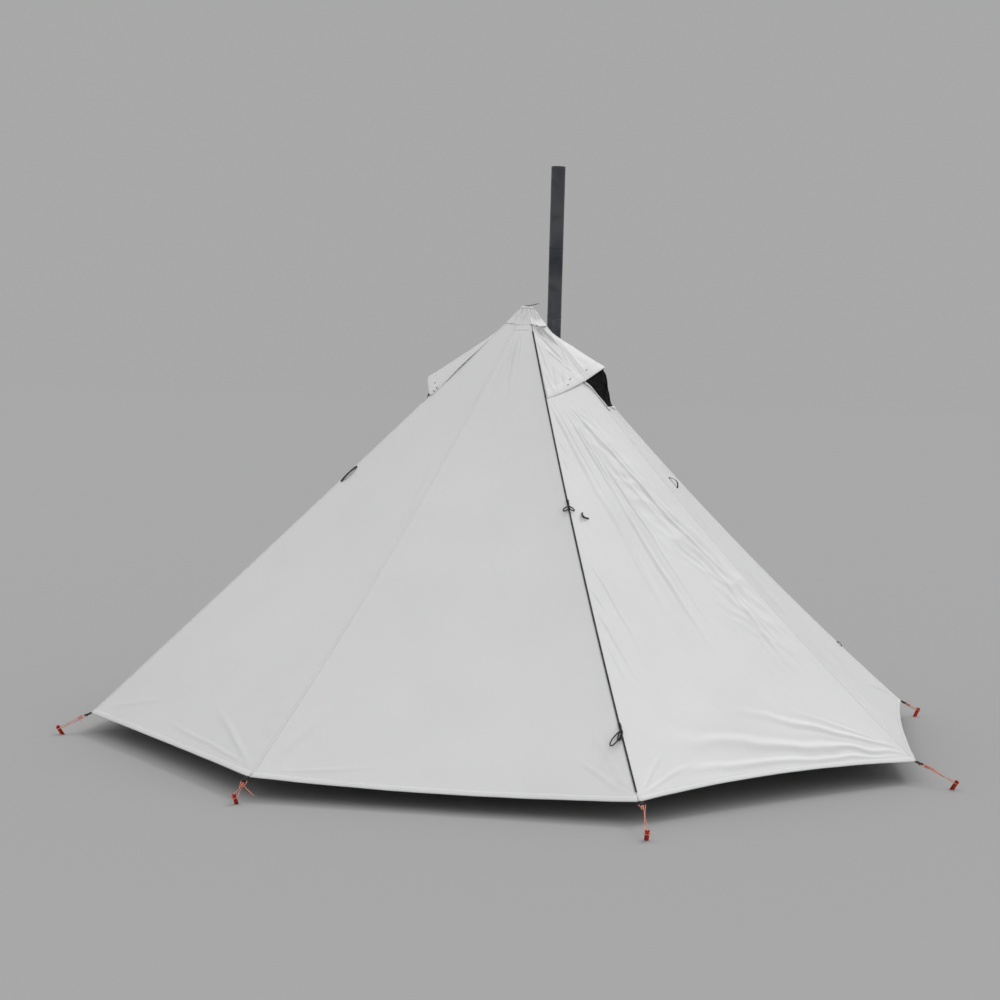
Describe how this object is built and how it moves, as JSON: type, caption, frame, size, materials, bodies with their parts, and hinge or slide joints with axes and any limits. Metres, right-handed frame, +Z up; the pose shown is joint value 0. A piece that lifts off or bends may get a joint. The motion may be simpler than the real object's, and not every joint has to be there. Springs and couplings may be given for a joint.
{
  "type": "tipi tent",
  "caption": "Octagonal cloth tipi on a telescoping centre pole, with a zipped door, hooded mesh vents, pegged corners, and a box stove whose flue leaves through the back panel.",
  "frame": {"origin": "on the ground, under the middle of the centre pole's foot", "axes": "+Z up the centre pole; the zipped door panel faces -Y and the panel with the flue faces +Y; the two hooded vents face +X and -X"},
  "size_m": [4.0237, 4.1056, 2.8613],
  "materials": {
    "canopy_cloth": "light grey coated ripstop cloth, slight satin sheen",
    "black_webbing": "black woven webbing",
    "vent_netting": "black fine netting",
    "zip_tape": "black zip tape with coil",
    "zip_slider": "black painted zip slider",
    "guy_cord": "orange and pale flecked cord",
    "peg_red": "red anodised",
    "pole_alloy": "satin drawn tube",
    "pole_plastic": "black moulded",
    "pole_rubber": "black moulded",
    "flue_steel": "thin rolled steel, blued and sooted by heat",
    "jack_patch": "dark heat-resistant coated glass cloth",
    "stove_steel": "black heat-resistant paint on sheet steel"
  },
  "bodies": {
    "tent": {"panel_front_right": "canopy_cloth", "panel_right": "canopy_cloth", "panel_back_right": "canopy_cloth", "panel_back": "canopy_cloth", "panel_back_left": "canopy_cloth", "panel_left": "canopy_cloth", "panel_front_left": "canopy_cloth", "peak_cap": "canopy_cloth", "peak_cord_loop": "black_webbing", "vent_hood_right": "canopy_cloth", "vent_net_right": "vent_netting", "vent_hood_left": "canopy_cloth", "vent_net_left": "vent_netting", "zip_tape_fixed": "zip_tape", "corner_tab_1": "black_webbing", "corner_tab_2": "black_webbing", "corner_tab_3": "black_webbing", "corner_tab_4": "black_webbing", "corner_tab_5": "black_webbing", "corner_tab_6": "black_webbing", "corner_tab_7": "black_webbing", "corner_tab_8": "black_webbing", "guyline_1": "guy_cord", "guyline_2": "guy_cord", "guyline_3": "guy_cord", "guyline_4": "guy_cord", "guyline_5": "guy_cord", "guyline_6": "guy_cord", "guyline_7": "guy_cord", "guyline_8": "guy_cord", "peg_1": "peg_red", "peg_2": "peg_red", "peg_3": "peg_red", "peg_4": "peg_red", "peg_5": "peg_red", "peg_6": "peg_red", "peg_7": "peg_red", "peg_8": "peg_red", "pole_foot": "pole_rubber", "pole_lower_tube": "pole_alloy", "pole_clamp": "pole_plastic", "flue_section_1": "flue_steel", "flue_section_2": "flue_steel", "flue_section_3": "flue_steel", "flue_section_4": "flue_steel", "flue_section_5": "flue_steel", "flue_section_6": "flue_steel", "stove_jack": "jack_patch", "jack_flap": "jack_patch", "stove_body": "stove_steel"},
    "door": {"panel_door": "canopy_cloth", "zip_tape_door": "zip_tape"},
    "slider_upper": {"zip_slider_upper": "zip_slider"},
    "slider_lower": {"zip_slider_lower": "zip_slider"},
    "pole_upper": {"pole_upper_tube": "pole_alloy", "pole_tip": "pole_plastic"},
    "pole_lever": {"pole_lever": "pole_plastic"},
    "stove_door": {"stove_door": "stove_steel"}
  },
  "joints": [
    {"name": "door_swing", "type": "hinge", "parent": "tent", "child": "door", "pos_m": [-0.76537, -1.84776, 0.09], "axis": [-0.2752, -0.6643, -0.695], "range_deg": [0, 100]},
    {"name": "slider_upper_run", "type": "slide", "parent": "door", "child": "slider_upper", "axis": [-0.2644, 0.6383, 0.7229], "range_m": [0, 0.973]},
    {"name": "slider_lower_run", "type": "slide", "parent": "door", "child": "slider_lower", "axis": [0.2926, -0.7064, -0.6445], "range_m": [0, 0.285]},
    {"name": "pole_telescope", "type": "slide", "parent": "tent", "child": "pole_upper", "axis": [0, 0, -1], "range_m": [0, 0.75]},
    {"name": "pole_lever_flip", "type": "hinge", "parent": "tent", "child": "pole_lever", "pos_m": [0.0293, 0, 1.126], "axis": [0, -1, 0], "range_deg": [0, 120]},
    {"name": "stove_door_swing", "type": "hinge", "parent": "tent", "child": "stove_door", "pos_m": [-0.07266, 0.43786, 0.375], "axis": [0, 0, -1], "range_deg": [0, 110]}
  ]
}
